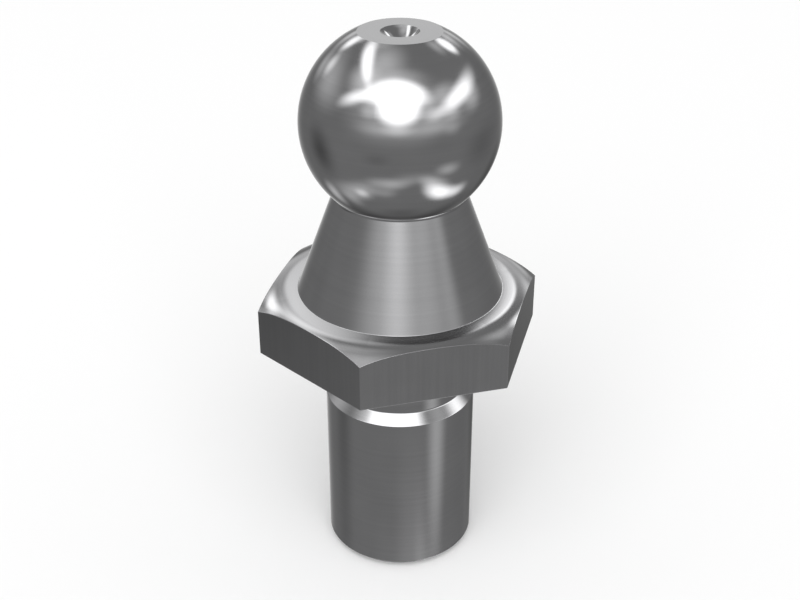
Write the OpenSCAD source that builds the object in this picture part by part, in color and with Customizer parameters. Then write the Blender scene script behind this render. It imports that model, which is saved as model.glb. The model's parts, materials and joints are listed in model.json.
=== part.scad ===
// Threaded ball stud: a ball on a conical neck, a crowned hexagon and a threaded
// shank with a relief groove, all turned in one piece from hexagon bar.
// Millimetres. The shank's end face lies on z = 0, and the axis is +Z.

/* [Ball] */
// Diameter of the ball
ball_d = 9.95; // [8.5:0.05:11.5]
// Height of the ball's centre above the seat
ball_rise = 12; // [10.5:0.1:14]
// Diameter of the flat turned on the ball's top
top_flat_d = 4.1; // [2.5:0.1:6]
// Diameter of the centre hole's mouth
centre_d = 1.9; // [1:0.1:2.4]
// Angle of the centre hole's cone, in degrees
centre_angle = 90; // [60:1:120]

/* [Neck] */
// Diameter of the neck's foot on the hexagon
neck_foot_d = 10.6; // [9.5:0.1:11.2]
// Lean of the neck's side from the axis, in degrees
neck_lean = 20; // [14:0.5:26]
// Radius of the fillet between neck and ball
neck_fillet = 0.2; // [0.1:0.05:0.6]

/* [Hexagon] */
// Width across the flats
hex_flats = 13; // [12:0.5:16]
// Height of the hexagon
hex_h = 3; // [2:0.1:5]
// Width of the flat ring between the neck's foot and the crown
ring_w = 0.55; // [0.3:0.05:0.7]
// Height that the crown takes off at the corners
crown_drop = 0.55; // [0.3:0.01:0.8]

/* [Shank] */
// Major diameter of the thread
thread_d = 8; // [7.2:0.1:10]
// Length of the shank under the seat
shank_l = 12.7; // [8:0.1:40]
// Diameter of the relief groove
relief_d = 7; // [5.5:0.1:7.8]
// Width of the relief groove with its run-out
relief_w = 3.25; // [2:0.05:5]
// Lean of the run-out from the axis, in degrees
runout_lean = 45; // [30:1:60]
// Chamfer on the shank's end
end_chamfer = 0.4; // [0.2:0.05:1]

/* [Hidden] */
$fn = 96;
steel = [0.55, 0.55, 0.56];
// An arc that runs into a line or an arc is sunk into it by this much, so that
// the two cross cleanly
sink = 0.0005;

// Heights on the axis
seat_z = shank_l;
hex_top_z = seat_z + hex_h;
hex_mid_z = seat_z + hex_h / 2;
ball_z = seat_z + ball_rise;

// Radii
ball_r = ball_d / 2;
top_flat_r = top_flat_d / 2;
centre_r = centre_d / 2;
neck_foot_r = neck_foot_d / 2;
thread_r = thread_d / 2;
relief_r = relief_d / 2;
hex_corner_r = hex_flats / 2 / cos(30);

// The flat on the ball's top, and the bottom of its centre hole
top_z = ball_z + sqrt(pow(ball_r, 2) - pow(top_flat_r, 2));
centre_bottom_z = top_z - centre_r / tan(centre_angle / 2);

// The run-out, from the thread's full diameter up to the groove's wall
runout_z = seat_z - relief_w;
relief_z = runout_z + (thread_r - relief_r) / tan(runout_lean);

// The crown's arc is level at the flat ring and passes through the corners.
// It runs on to twice their drop, clear of the hexagon.
crown_flat_r = neck_foot_r + ring_w;
crown_reach = hex_corner_r - crown_flat_r;
crown_r = (pow(crown_reach, 2) + pow(crown_drop, 2)) / (2 * crown_drop);
crown_end_z = hex_top_z - 2 * crown_drop;

// The neck's side in the plane of the axis: the directions along it and out of
// it, and its distance from the ball's centre
ball_centre = [0, ball_z];
neck_foot = [neck_foot_r, hex_top_z];
neck_along = [-sin(neck_lean), cos(neck_lean)];
neck_out = [cos(neck_lean), sin(neck_lean)];
neck_offset = (neck_foot - ball_centre) * neck_out;

// The fillet's circle lies against the neck's side and the ball, so its centre is
// one fillet radius outside both
fillet_offset = neck_offset + neck_fillet - sink;
fillet_reach = ball_r + neck_fillet - sink;
fillet_down = sqrt(pow(fillet_reach, 2) - pow(fillet_offset, 2));
from_ball = fillet_offset * neck_out - fillet_down * neck_along;
fillet_centre = ball_centre + from_ball;
fillet_on_ball = ball_centre + from_ball * ball_r / fillet_reach;
fillet_on_neck = fillet_centre - neck_fillet * neck_out;

// Half outline of the shank, from its end into the hexagon
module shank_outline() {
    polygon([
        [0, 0],
        [thread_r - end_chamfer, 0],
        [thread_r, end_chamfer],
        [thread_r, runout_z],
        [relief_r, relief_z],
        [relief_r, hex_mid_z],
        [0, hex_mid_z],
    ]);
}

// Half outline of the neck, from inside the hexagon into the ball
module neck_outline() {
    difference() {
        polygon([
            [0, hex_mid_z],
            [neck_foot_r, hex_mid_z],
            neck_foot,
            fillet_on_neck,
            fillet_on_ball,
            ball_centre,
        ]);
        translate(fillet_centre) circle(neck_fillet);
    }
}

// Half outline of the ball, with its flat and its centre hole
module ball_outline() {
    intersection() {
        translate(ball_centre) circle(ball_r);
        polygon([
            [0, ball_z - ball_d],
            [ball_d, ball_z - ball_d],
            [ball_d, top_z],
            [centre_r, top_z],
            [0, centre_bottom_z],
        ]);
    }
}

// Half outline of the round blank that crowns the hexagon
module crown_outline() {
    translate([0, seat_z]) square([crown_flat_r, hex_h]);
    translate([0, seat_z]) square([crown_flat_r + crown_r, crown_end_z - seat_z]);
    intersection() {
        translate([crown_flat_r, hex_top_z - crown_r + sink]) circle(crown_r);
        translate([crown_flat_r, crown_end_z]) square([crown_r, hex_top_z - crown_end_z]);
    }
}

module hexagon() {
    intersection() {
        cylinder(r = hex_corner_r, h = ball_z, $fn = 6);
        rotate_extrude() crown_outline();
    }
}

module ball_stud() {
    color(steel) {
        hexagon();
        rotate_extrude() {
            shank_outline();
            neck_outline();
            ball_outline();
        }
    }
}

ball_stud();
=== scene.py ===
"""Threaded ball stud, turned from hexagon bar, on a white floor in a white room.

The stud is one closed numpy surface: a half outline carried round the axis, whose
radius follows a hexagon where the bar's own flats are left. Its steel mirrors the room,
which has soft glows on its walls, ceiling and floor.
"""
import json
import math

import bpy
import numpy as np
from mathutils import Matrix, Vector


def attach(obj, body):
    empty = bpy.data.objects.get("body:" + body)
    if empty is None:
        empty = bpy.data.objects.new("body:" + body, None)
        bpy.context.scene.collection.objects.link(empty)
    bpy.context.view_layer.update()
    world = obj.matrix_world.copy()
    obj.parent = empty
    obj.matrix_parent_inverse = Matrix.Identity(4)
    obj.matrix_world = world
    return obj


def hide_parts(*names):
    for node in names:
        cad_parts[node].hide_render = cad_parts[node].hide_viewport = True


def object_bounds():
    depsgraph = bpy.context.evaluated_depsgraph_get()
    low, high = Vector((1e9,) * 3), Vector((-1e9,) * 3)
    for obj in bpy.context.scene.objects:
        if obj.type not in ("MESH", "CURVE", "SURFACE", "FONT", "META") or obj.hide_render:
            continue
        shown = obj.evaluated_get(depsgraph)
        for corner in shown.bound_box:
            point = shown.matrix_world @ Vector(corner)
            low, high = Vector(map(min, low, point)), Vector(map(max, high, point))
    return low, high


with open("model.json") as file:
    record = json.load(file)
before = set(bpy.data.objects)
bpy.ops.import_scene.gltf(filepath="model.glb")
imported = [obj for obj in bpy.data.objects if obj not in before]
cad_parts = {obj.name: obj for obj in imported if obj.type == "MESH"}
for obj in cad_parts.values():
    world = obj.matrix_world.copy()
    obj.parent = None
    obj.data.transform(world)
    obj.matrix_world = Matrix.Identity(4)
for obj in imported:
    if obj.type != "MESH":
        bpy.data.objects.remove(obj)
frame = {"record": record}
cad_low, cad_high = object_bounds()

# The stud's sizes are millimetres, and the scene is metres
MM = 0.001

# Sizes that the frame gives
mounts = {mount["name"]: mount for mount in frame["record"]["mounts"]}
THREAD_R = mounts["thread_shank"]["dims"]["r_mm"]
SEAT_Z = mounts["seat"]["pos_m"][2] / MM
BALL_Z = mounts["ball"]["pos_m"][2] / MM
TOP_Z = cad_high.z / MM
FLAT_R = cad_high.y / MM

# The bar's hexagon: its sides, and the angle from one corner to the next
HEX_SIDES = 6
SECTOR = 2 * math.pi / HEX_SIDES

# Sizes of the turned forms
TOP_FLAT_R = 2.05
CENTRE_R = 0.95
CENTRE_DEPTH = 0.95
NECK_FOOT_R = 5.3
NECK_LEAN = math.radians(20)
NECK_FILLET = 0.2
HEX_H = 3.0
RING_W = 0.55
CROWN_DROP = 0.55
RELIEF_R = 3.5
RELIEF_W = 3.25
END_CHAMFER = 0.4

# Broken edges and tool corners, as radii, and how far beyond them a row holds the shading
EDGE_R = 0.015
TOOL_R = 0.1
FOOT_R = 0.02
HOLD = 0.03

# Grid of the surface. The crown's steps are shares of the way from the hexagon to the ring
COLUMNS_PER_FLAT = 40
BALL_ROWS = 72
FILLET_ROWS = 10
ARC_STEPS = 5
CROWN_STEPS = np.array([0.16, 0.3, 0.45, 0.6, 0.8, 1.0])

# How near to the hexagon a row has to be to count as part of the bar's flats
FLAT_TOLERANCE = EDGE_R / 100

# Heights and radii that follow
HEX_TOP_Z = SEAT_Z + HEX_H
BALL_R = math.hypot(TOP_Z - BALL_Z, TOP_FLAT_R)
RUNOUT_Z = SEAT_Z - RELIEF_W
RELIEF_Z = RUNOUT_Z + THREAD_R - RELIEF_R
CORNER_R = FLAT_R / math.cos(SECTOR / 2)
CROWN_FLAT_R = NECK_FOOT_R + RING_W
CROWN_REACH = CORNER_R - CROWN_FLAT_R
CROWN_R = (CROWN_REACH**2 + CROWN_DROP**2) / (2 * CROWN_DROP)

# The small round on the hexagon's corners: its centre, and the flat's half up to it
ROUND_CENTRE_R = (FLAT_R - EDGE_R) / math.cos(SECTOR / 2)
FLAT_HALF_W = (FLAT_R - EDGE_R) * math.tan(SECTOR / 2)

# Steel: its greys and roughness, and its tint where it is seen at a slant
STEEL_DARK = (0.118, 0.118, 0.12, 1)
STEEL_LIGHT = (0.134, 0.134, 0.136, 1)
SLANT_TINT = (0.55, 0.55, 0.55, 1)
ROUGHNESS_LOW = 0.09
ROUGHNESS_HIGH = 0.14

# Its lines and smudges: features a metre, layers of detail, and the lines' depth in millimetres
RING_SCALE = 5000
DRAWN_SCALE = 6000
DRAWN_STRETCH = 0.02
LINE_DETAIL = 3
LINE_DEPTH = 0.00025
SMUDGE_SCALE = 400
SMUDGE_DETAIL = 4
SMUDGE_SHARE = 0.5

# Noise at which the steel is darkest and glossiest, and at which it is lightest and dullest
NOISE_LOW = 0.3
NOISE_HIGH = 0.7

# Camera: distance and target in millimetres, and the range that it sees in metres
CAMERA_AZIMUTH = math.radians(44.81)
CAMERA_PITCH = math.radians(29.45)
CAMERA_DISTANCE = 67.0
CAMERA_TARGET_Z = 14.743
LENS_MM = 57.49
SENSOR_MM = 36.0
CLIP_NEAR = 0.001
CLIP_FAR = 10
TO_CAMERA = Vector((math.sin(CAMERA_AZIMUTH), -math.cos(CAMERA_AZIMUTH), 0))
TO_RIGHT = Vector((math.cos(CAMERA_AZIMUTH), math.sin(CAMERA_AZIMUTH), 0))

# Floor and lamp, in metres, degrees and watts
FLOOR_HALF = 1.0
FLOOR_WHITE = 0.86
SOFTBOX_AZIMUTH = -5
SOFTBOX_ELEVATION = 44
SOFTBOX_DISTANCE = 3.0
SOFTBOX_SIZE = 3.6
SOFTBOX_POWER = 90

# Room: its white, the fill that it gives the floor, and the limits of its light in metal
ROOM_WHITE = 1.0
ROOM_FILL = 0.7
ROOM_SHADE = 0.3
ROOM_LIGHT = 9.0

# The room's glows are soft ovals of light that the metal mirrors. Each has an
# azimuth, an elevation, a reach along and a reach across in degrees, a strength as a share
# of white, and where it doesn't lie level, a turn in degrees.

# Front softbox: its broad top, its foot, its left arm, and the haze round and over it
FRONT_SOFTBOX = [
    (-6, 52, 42, 20, 24),
    (-2, 34, 30, 22, 22),
    (-64, 35, 27, 10, 7, 38),
    (-5, 38, 75, 52, 1.6),
    (5, 72, 30, 12, 1.0),
]
# Wash low in front, which lights the neck: its middle, its right and its left
LOW_WASH = [
    (-2, 12, 25, 10, 2.0),
    (40, 11, 52, 12, 1.4),
    (66, 18, 18, 9, 1.5),
    (60, 4, 15, 8, 0.7),
    (40, 25, 19, 11, 2.8),
    (-24, 11, 36, 11, 1.1),
    (-39, 27, 15, 10, 1.6),
]
# Strip over the left shoulder, the haze right of it, and the left wall
LEFT_STRIP = [
    (-113, 60, 42, 8.5, 11, 9),
    (-90, 76, 34, 26, 2.0),
    (-71, 53, 27, 22, 2.7),
    (-115, 23, 40, 24, 1.6),
]
# Right softbox, and the haze over and under it
RIGHT_SOFTBOX = [
    (84, 28, 47, 11, 10),
    (64, 39, 27, 13, 1.8),
    (98, 18, 24, 14, 2.0),
]
# Back wall, which lights the crown, the ring and the top flat, from right to left
BACK_WALL = [
    (145.5, 34, 11, 10, 15.5),
    (156, 22, 11, 9, 2.8),
    (163, 8, 10, 8, 2.5),
    (142, 48, 14, 9, 1.6),
    (172.6, 31, 4, 7, 10),
    (180, 19, 34, 16, 2.9),
    (-174, 30, 6, 8, 3.5),
    (-166, 38, 13, 12, 5),
    (-151, 28, 11, 10, 9.5),
    (-155, 37, 9, 8, 2.5),
    (-161, 13, 11, 9, 2.2),
    (-132, 22, 12, 10, 3.5),
    (-143, 10, 15, 10, 1.8),
    (-158, 59, 14, 12, 1.2),
]
# Floor, which lights the ball's underside and the shank: its right, its front and its left
FLOOR_GLOWS = [
    (75, -59.5, 27, 11, 9),
    (48, -50, 22, 10, 2.6, -15),
    (107, -53, 13, 9, 2.4),
    (59, -35, 18, 9, 1.5),
    (24, -44, 28, 11, 0.6),
    (-12, -51, 27, 11, 1.8),
    (-75, -58, 34, 14, 1.8),
    (-28, -63, 15, 10, 0.9),
    (-72, -61, 9, 7, 2.2),
    (-134, -48, 15, 8, 2.6),
    (-112, -60, 12, 10, 1.0),
]
# Shades: a dark gap in the back wall, and the darker floor behind the stud and round it
SHADES = [
    (177.3, 33, 5.2, 9, -7),
    (157, -32, 24, 16, -0.7),
    (-100, -24, 24, 24, -0.55),
    (100, -20, 34, 20, -0.25),
    (180, -55, 36, 24, -0.8),
    (176, -80, 16, 14, -0.25),
    (-26, -22, 20, 10, -0.2),
]


def hexagon_columns():
    """Angles of the surface's columns round the axis.

    Each corner of the hexagon has the angles of the points on its small round, with a
    holding column on either side, and the flat between two corners has even steps.
    """
    swing = np.linspace(-SECTOR / 2, SECTOR / 2, ARC_STEPS)
    corner = np.arctan2(EDGE_R * np.sin(swing), ROUND_CENTRE_R + EDGE_R * np.cos(swing))
    hold = SECTOR / 2 - math.atan((FLAT_HALF_W - HOLD) / FLAT_R)
    flat = np.linspace(hold, SECTOR - hold, COLUMNS_PER_FLAT)
    one_sector = np.concatenate([corner, flat])
    return (np.arange(HEX_SIDES)[:, None] * SECTOR + one_sector).ravel()


def hexagon_radius(theta):
    """Distance from the axis to the hexagon: the flat's distance over the cosine of the
    angle from the flat's middle, and near a corner the far crossing of a ray with the
    corner's small round."""
    off_corner = np.abs((theta + SECTOR / 2) % SECTOR - SECTOR / 2)
    flat = FLAT_R / np.cos(SECTOR / 2 - off_corner)
    inside = np.maximum(EDGE_R**2 - (ROUND_CENTRE_R * np.sin(off_corner)) ** 2, 0)
    corner = ROUND_CENTRE_R * np.cos(off_corner) + np.sqrt(inside)
    round_end = SECTOR / 2 - math.atan(FLAT_HALF_W / FLAT_R)
    return np.where(off_corner < round_end, corner, flat)


def crown_height(radius):
    """Height of the crown: an arc that is level at the flat ring and falls outwards."""
    reach = np.maximum(radius - CROWN_FLAT_R, 0)
    return HEX_TOP_Z - CROWN_R + np.sqrt(CROWN_R**2 - reach**2)


def unit(vectors):
    """Vectors divided by their lengths."""
    return vectors / np.linalg.norm(vectors, axis=-1, keepdims=True)


def round_corners(corners, radii):
    """An open line through corners, with each corner that has a radius replaced by an arc.

    The arc leaves both sides at the tangent length, radius over the tangent of half the
    corner's angle, and turns evenly from one to the other. A holding point beyond each
    end of the arc keeps the sides flat in smooth shading.
    """
    rows = []
    for i, (here, radius) in enumerate(zip(corners, radii)):
        if radius == 0:
            rows.append(here[None])
            continue
        back = unit(corners[i - 1] - here)
        ahead = unit(corners[i + 1] - here)
        half = np.arccos(np.sum(back * ahead, -1, keepdims=True)) / 2
        reach = radius / np.tan(half)
        centre = here + unit(back + ahead) * radius / np.sin(half)
        first = here + back * reach - centre
        last = here + ahead * reach - centre
        turn = np.pi - 2 * half
        share = np.linspace(0, 1, ARC_STEPS)[:, None, None]
        arc = (np.sin((1 - share) * turn) * first + np.sin(share * turn) * last) / np.sin(turn)
        rows.append((here + back * (reach + HOLD))[None])
        rows.append(centre + arc)
        rows.append((here + ahead * (reach + HOLD))[None])
    return np.concatenate(rows)


def circle_points(centre, radius, angles):
    """Points on a circle: its centre plus the radius times each angle's cosine and sine."""
    return centre + radius * np.stack([np.cos(angles), np.sin(angles)], -1)


def neck_and_ball():
    """Points up the neck's fillet and round the ball to the flat on its top.

    The fillet's circle touches the neck's side and the ball, so its centre is one fillet
    radius outside both. Each arc is a centre plus a radius at evenly spaced angles.
    """
    out = np.array([math.cos(NECK_LEAN), math.sin(NECK_LEAN)])
    along = np.array([-math.sin(NECK_LEAN), math.cos(NECK_LEAN)])
    ball = np.array([0, BALL_Z])
    offset = (np.array([NECK_FOOT_R, HEX_TOP_Z]) - ball) @ out + NECK_FILLET
    down = math.sqrt((BALL_R + NECK_FILLET) ** 2 - offset**2)
    centre = ball + offset * out - down * along
    to_neck = math.atan2(-out[1], -out[0])
    to_ball = math.atan2(*(ball - centre)[::-1])
    turn = np.linspace(to_neck % (2 * math.pi), to_ball, FILLET_ROWS)
    start = math.atan2(*(centre - ball)[::-1])
    end = math.atan2(TOP_Z - BALL_Z, TOP_FLAT_R)
    sweep = np.linspace(start, end, BALL_ROWS)[1:-1]
    return np.concatenate([
        circle_points(centre, NECK_FILLET, turn),
        circle_points(ball, BALL_R, sweep),
    ])


def stud_outline(theta):
    """Half outline of the stud in each column, from the rim of the shank's end up to the
    centre hole, as radius and height: straight sides with rounded corners, the crown's
    arc, the fillet and the ball. Returns it with a mark for rows on the bar's flats."""
    hexagon = hexagon_radius(theta)
    crown = hexagon + (CROWN_FLAT_R - hexagon) * CROWN_STEPS[:, None]
    turned = [
        (THREAD_R - END_CHAMFER, 0, EDGE_R),
        (THREAD_R, END_CHAMFER, EDGE_R),
        (THREAD_R, RUNOUT_Z, EDGE_R),
        (RELIEF_R, RELIEF_Z, TOOL_R),
        (RELIEF_R, SEAT_Z, TOOL_R),
        (hexagon, SEAT_Z, EDGE_R),
        (hexagon, crown_height(hexagon), EDGE_R),
        *((radius, crown_height(radius), 0) for radius in crown),
        (NECK_FOOT_R, HEX_TOP_Z, FOOT_R),
        *((radius, height, 0) for radius, height in neck_and_ball()),
        (TOP_FLAT_R, TOP_Z, EDGE_R),
        (CENTRE_R, TOP_Z, EDGE_R),
    ]
    ends = [(0, 0, 0), *turned, (0, TOP_Z - CENTRE_DEPTH, 0)]
    even = np.ones_like(theta)
    corners = [np.stack([radius * even, height * even], -1) for radius, height, _ in ends]
    rows = round_corners(corners, [radius for *_, radius in ends])
    on_flat = np.abs(rows[..., 0] - hexagon).max(1) < FLAT_TOLERANCE
    return rows[1:-1], on_flat[1:-1]


def revolve(name, theta, rows, poles, marks):
    """Closed mesh of an outline carried round the axis: x and y are the radius times the
    cosine and sine of the column's angle. Columns wrap, and a fan closes each pole, whose
    height is given. The rows' marks go into the attribute bar_skin."""
    count, columns = rows.shape[:2]
    radius = rows[..., 0]
    grid = np.stack([radius * np.cos(theta), radius * np.sin(theta), rows[..., 1]], -1)
    tips = np.array([(0, 0, poles[0]), (0, 0, poles[1])])
    points = np.concatenate([grid.reshape(-1, 3), tips]) * MM
    here = np.arange(columns)
    there = np.roll(here, -1)
    base = np.arange(count - 1)[:, None] * columns
    above = base + columns
    quads = np.stack([base + here, base + there, above + there, above + here], -1)
    low_tip = np.full(columns, count * columns)
    top = (count - 1) * columns
    bottom_fan = np.stack([low_tip, there, here], -1)
    top_fan = np.stack([top + here, top + there, low_tip + 1], -1)
    mesh = bpy.data.meshes.new(name)
    faces = quads.reshape(-1, 4).tolist() + bottom_fan.tolist() + top_fan.tolist()
    mesh.from_pydata(points.tolist(), [], faces)
    mesh.shade_smooth()
    attribute = mesh.attributes.new("bar_skin", "FLOAT", "POINT")
    values = np.append(np.repeat(marks, columns), (0, 0))
    attribute.data.foreach_set("value", values.astype(np.float32))
    piece = bpy.data.objects.new(name, mesh)
    bpy.context.scene.collection.objects.link(piece)
    return piece


def noise(nodes, links, place, scale, detail):
    """Socket with noise from 0 to 1 at a place, with features of about one over the scale."""
    cloud = nodes.new("ShaderNodeTexNoise")
    cloud.inputs["Scale"].default_value = scale
    cloud.inputs["Detail"].default_value = detail
    links.new(place, cloud.inputs["Vector"])
    return cloud.outputs["Fac"]


def turned_steel():
    """Bare steel: fine tool rings on what the lathe cut, drawn lines on the bar's flats.

    Rings are noise read by radius and height alone, so they run round the axis. Drawn lines
    are noise read by place across the bar, stretched along it. Both roughen and groove the
    steel a little, and broad smudges vary its grey and its gloss.
    """
    material = bpy.data.materials.new("turned_steel")
    material.use_nodes = True
    nodes = material.node_tree.nodes
    links = material.node_tree.links
    place = nodes.new("ShaderNodeTexCoord").outputs["Object"]

    # Tool rings
    level = nodes.new("ShaderNodeVectorMath")
    level.operation = "MULTIPLY"
    level.inputs[1].default_value = (1, 1, 0)
    links.new(place, level.inputs[0])
    radius = nodes.new("ShaderNodeVectorMath")
    radius.operation = "LENGTH"
    links.new(level.outputs["Vector"], radius.inputs[0])
    height = nodes.new("ShaderNodeSeparateXYZ")
    links.new(place, height.inputs[0])
    outline = nodes.new("ShaderNodeCombineXYZ")
    links.new(radius.outputs["Value"], outline.inputs["X"])
    links.new(height.outputs["Z"], outline.inputs["Y"])
    rings = noise(nodes, links, outline.outputs[0], RING_SCALE, LINE_DETAIL)

    # Drawn lines
    along = nodes.new("ShaderNodeMapping")
    along.inputs["Scale"].default_value = (1, 1, DRAWN_STRETCH)
    links.new(place, along.inputs["Vector"])
    drawn = noise(nodes, links, along.outputs["Vector"], DRAWN_SCALE, LINE_DETAIL)

    # Lines of each surface, and smudges over them
    skin = nodes.new("ShaderNodeAttribute")
    skin.attribute_name = "bar_skin"
    lines = nodes.new("ShaderNodeMix")
    links.new(skin.outputs["Fac"], lines.inputs["Factor"])
    links.new(rings, lines.inputs["A"])
    links.new(drawn, lines.inputs["B"])
    smudge = noise(nodes, links, place, SMUDGE_SCALE, SMUDGE_DETAIL)
    both = nodes.new("ShaderNodeMix")
    both.inputs["Factor"].default_value = SMUDGE_SHARE
    links.new(lines.outputs["Result"], both.inputs["A"])
    links.new(smudge, both.inputs["B"])

    # Grey, gloss and grooves
    grey = nodes.new("ShaderNodeValToRGB")
    dark, light = grey.color_ramp.elements
    dark.position = NOISE_LOW
    dark.color = STEEL_DARK
    light.position = NOISE_HIGH
    light.color = STEEL_LIGHT
    links.new(both.outputs["Result"], grey.inputs["Fac"])
    gloss = nodes.new("ShaderNodeMapRange")
    gloss.inputs["From Min"].default_value = NOISE_LOW
    gloss.inputs["From Max"].default_value = NOISE_HIGH
    gloss.inputs["To Min"].default_value = ROUGHNESS_LOW
    gloss.inputs["To Max"].default_value = ROUGHNESS_HIGH
    links.new(both.outputs["Result"], gloss.inputs["Value"])
    groove = nodes.new("ShaderNodeBump")
    groove.inputs["Strength"].default_value = 1
    groove.inputs["Distance"].default_value = LINE_DEPTH * MM
    links.new(lines.outputs["Result"], groove.inputs["Height"])

    shader = nodes["Principled BSDF"]
    shader.inputs["Metallic"].default_value = 1
    shader.inputs["Specular Tint"].default_value = SLANT_TINT
    links.new(grey.outputs["Color"], shader.inputs["Base Color"])
    links.new(gloss.outputs["Result"], shader.inputs["Roughness"])
    links.new(groove.outputs["Normal"], shader.inputs["Normal"])
    return material


def mirrored(nodes, links):
    """Socket that is 1 for rays that metal or glass sends on, and 0 for others."""
    path = nodes.new("ShaderNodeLightPath")
    either = nodes.new("ShaderNodeMath")
    either.operation = "MAXIMUM"
    links.new(path.outputs["Is Glossy Ray"], either.inputs[0])
    links.new(path.outputs["Is Transmission Ray"], either.inputs[1])
    return either.outputs[0]


def white_floor():
    """Matt white paint that takes the stud's shadow. Metal looks through it at the room,
    which is white below the horizon too."""
    material = bpy.data.materials.new("white_floor")
    material.use_nodes = True
    nodes = material.node_tree.nodes
    links = material.node_tree.links
    paint = nodes["Principled BSDF"]
    paint.inputs["Base Color"].default_value = (FLOOR_WHITE, FLOOR_WHITE, FLOOR_WHITE, 1)
    paint.inputs["Roughness"].default_value = 1
    paint.inputs["Specular IOR Level"].default_value = 0
    clear = nodes.new("ShaderNodeBsdfTransparent")
    mix = nodes.new("ShaderNodeMixShader")
    links.new(mirrored(nodes, links), mix.inputs["Fac"])
    links.new(paint.outputs[0], mix.inputs[1])
    links.new(clear.outputs[0], mix.inputs[2])
    links.new(mix.outputs[0], nodes["Material Output"].inputs["Surface"])
    return material


def floor(material):
    """Flat square of the stage's floor under the stud's end face."""
    reach = FLOOR_HALF
    corners = [(-reach, -reach, 0), (reach, -reach, 0), (reach, reach, 0), (-reach, reach, 0)]
    mesh = bpy.data.meshes.new("floor")
    mesh.from_pydata(corners, [], [(0, 1, 2, 3)])
    mesh.materials.append(material)
    piece = bpy.data.objects.new("floor", mesh)
    bpy.context.scene.collection.objects.link(piece)


def heading(azimuth, elevation):
    """Direction in degrees: azimuth from the camera's side round to the right, elevation
    above the horizon."""
    azimuth = math.radians(azimuth)
    elevation = math.radians(elevation)
    level = TO_CAMERA * math.cos(azimuth) + TO_RIGHT * math.sin(azimuth)
    return level * math.cos(elevation) + Vector((0, 0, math.sin(elevation)))


def softbox():
    """The one lamp: a large panel in front of the stud and above it, which lights the floor
    and throws the shadow. Metal mirrors the room's glows in its place."""
    lamp = bpy.data.lights.new("softbox", "AREA")
    lamp.size = SOFTBOX_SIZE
    lamp.energy = SOFTBOX_POWER
    piece = bpy.data.objects.new("softbox", lamp)
    piece.location = heading(SOFTBOX_AZIMUTH, SOFTBOX_ELEVATION) * SOFTBOX_DISTANCE
    piece.rotation_euler = piece.location.to_track_quat("Z", "Y").to_euler()
    piece.visible_glossy = False
    bpy.context.scene.collection.objects.link(piece)


def glow(nodes, links, way, azimuth, elevation, along, across, strength, turn=0):
    """Socket with the light of one soft oval patch of the room's wall, floor or ceiling.

    The way a ray goes is set against the patch's heading, along and across the oval, each
    as a share of its reach. The light rises smoothly from the oval's rim to its middle. All
    angles are degrees, and the oval is turned from lying level.
    """
    out = heading(azimuth, elevation)
    side = heading(azimuth + 90, 0)
    level_axes = Matrix((side, out.cross(side), out)).transposed()
    axes = level_axes @ Matrix.Rotation(math.radians(turn), 3, "Z")
    share = nodes.new("ShaderNodeMapping")
    share.vector_type = "TEXTURE"
    share.inputs["Location"].default_value = out
    share.inputs["Rotation"].default_value = axes.to_euler()
    share.inputs["Scale"].default_value = (math.radians(along), math.radians(across), 1)
    links.new(way, share.inputs["Vector"])
    off = nodes.new("ShaderNodeVectorMath")
    off.operation = "LENGTH"
    links.new(share.outputs["Vector"], off.inputs[0])
    rise = nodes.new("ShaderNodeMapRange")
    rise.interpolation_type = "SMOOTHSTEP"
    rise.inputs["From Min"].default_value = 1
    rise.inputs["From Max"].default_value = 0
    rise.inputs["To Max"].default_value = strength
    links.new(off.outputs["Value"], rise.inputs["Value"])
    return rise.outputs["Result"]


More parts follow.
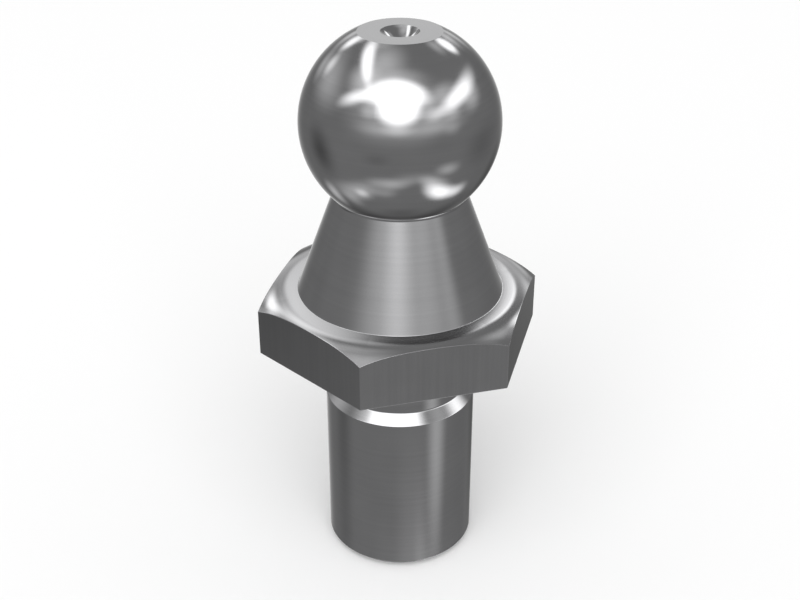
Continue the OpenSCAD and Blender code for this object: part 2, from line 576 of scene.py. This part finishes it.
def white_room(glows):
    """World that is white to the camera and lights the floor softly from all round. Metal
    sees it white too, with the glows added, between the deepest shade and the full light."""
    world = bpy.data.worlds.new("white_room")
    bpy.context.scene.world = world
    world.use_nodes = True
    nodes = world.node_tree.nodes
    links = world.node_tree.links

    # The first glow is added to white, and each other glow to the sum so far
    way = nodes.new("ShaderNodeTexCoord").outputs["Generated"]
    level = None
    for item in glows:
        add = nodes.new("ShaderNodeMath")
        add.inputs[1].default_value = ROOM_WHITE
        links.new(glow(nodes, links, way, *item), add.inputs[0])
        if level:
            links.new(level, add.inputs[1])
        level = add.outputs[0]
    limit = nodes.new("ShaderNodeClamp")
    limit.inputs["Min"].default_value = ROOM_SHADE
    limit.inputs["Max"].default_value = ROOM_LIGHT
    links.new(level, limit.inputs["Value"])

    # What the floor, the metal and the camera get from the room
    fill = nodes["Background"]
    fill.inputs["Strength"].default_value = ROOM_FILL
    in_metal = nodes.new("ShaderNodeBackground")
    links.new(limit.outputs["Result"], in_metal.inputs["Strength"])
    to_camera = nodes.new("ShaderNodeBackground")
    to_camera.inputs["Strength"].default_value = ROOM_WHITE
    for light in (fill, in_metal, to_camera):
        light.inputs["Color"].default_value = (1, 1, 1, 1)
    unseen = nodes.new("ShaderNodeMixShader")
    links.new(mirrored(nodes, links), unseen.inputs["Fac"])
    links.new(fill.outputs[0], unseen.inputs[1])
    links.new(in_metal.outputs[0], unseen.inputs[2])
    room = nodes.new("ShaderNodeMixShader")
    links.new(nodes.new("ShaderNodeLightPath").outputs["Is Camera Ray"], room.inputs["Fac"])
    links.new(unseen.outputs[0], room.inputs[1])
    links.new(to_camera.outputs[0], room.inputs[2])
    links.new(room.outputs[0], nodes["World Output"].inputs["Surface"])


def camera():
    """The scene's camera, at the photo's viewing angle: it looks down by its pitch at a
    point on the stud's axis."""
    lens = bpy.data.cameras.new("camera")
    lens.lens = LENS_MM
    lens.sensor_width = SENSOR_MM
    lens.clip_start = CLIP_NEAR
    lens.clip_end = CLIP_FAR
    piece = bpy.data.objects.new("camera", lens)
    target = Vector((0, 0, CAMERA_TARGET_Z * MM))
    back = TO_CAMERA * math.cos(CAMERA_PITCH) + Vector((0, 0, math.sin(CAMERA_PITCH)))
    piece.location = target + back * CAMERA_DISTANCE * MM
    piece.rotation_euler = (math.pi / 2 - CAMERA_PITCH, 0, CAMERA_AZIMUTH)
    bpy.context.scene.collection.objects.link(piece)
    bpy.context.scene.camera = piece


camera()

theta = hexagon_columns()
rows, on_flat = stud_outline(theta)
stud = revolve("turned_stud", theta, rows, (0, TOP_Z - CENTRE_DEPTH), on_flat)
stud.data.materials.append(turned_steel())
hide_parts("ball_stud")
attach(stud, "root")

# The photo's metal mirrors its room and hardly the stud itself
stud.visible_glossy = False

floor(white_floor())
softbox()
white_room([
    *FRONT_SOFTBOX,
    *LOW_WASH,
    *LEFT_STRIP,
    *RIGHT_SOFTBOX,
    *BACK_WALL,
    *FLOOR_GLOWS,
    *SHADES,
])

bpy.context.scene.view_settings.view_transform = "Standard"
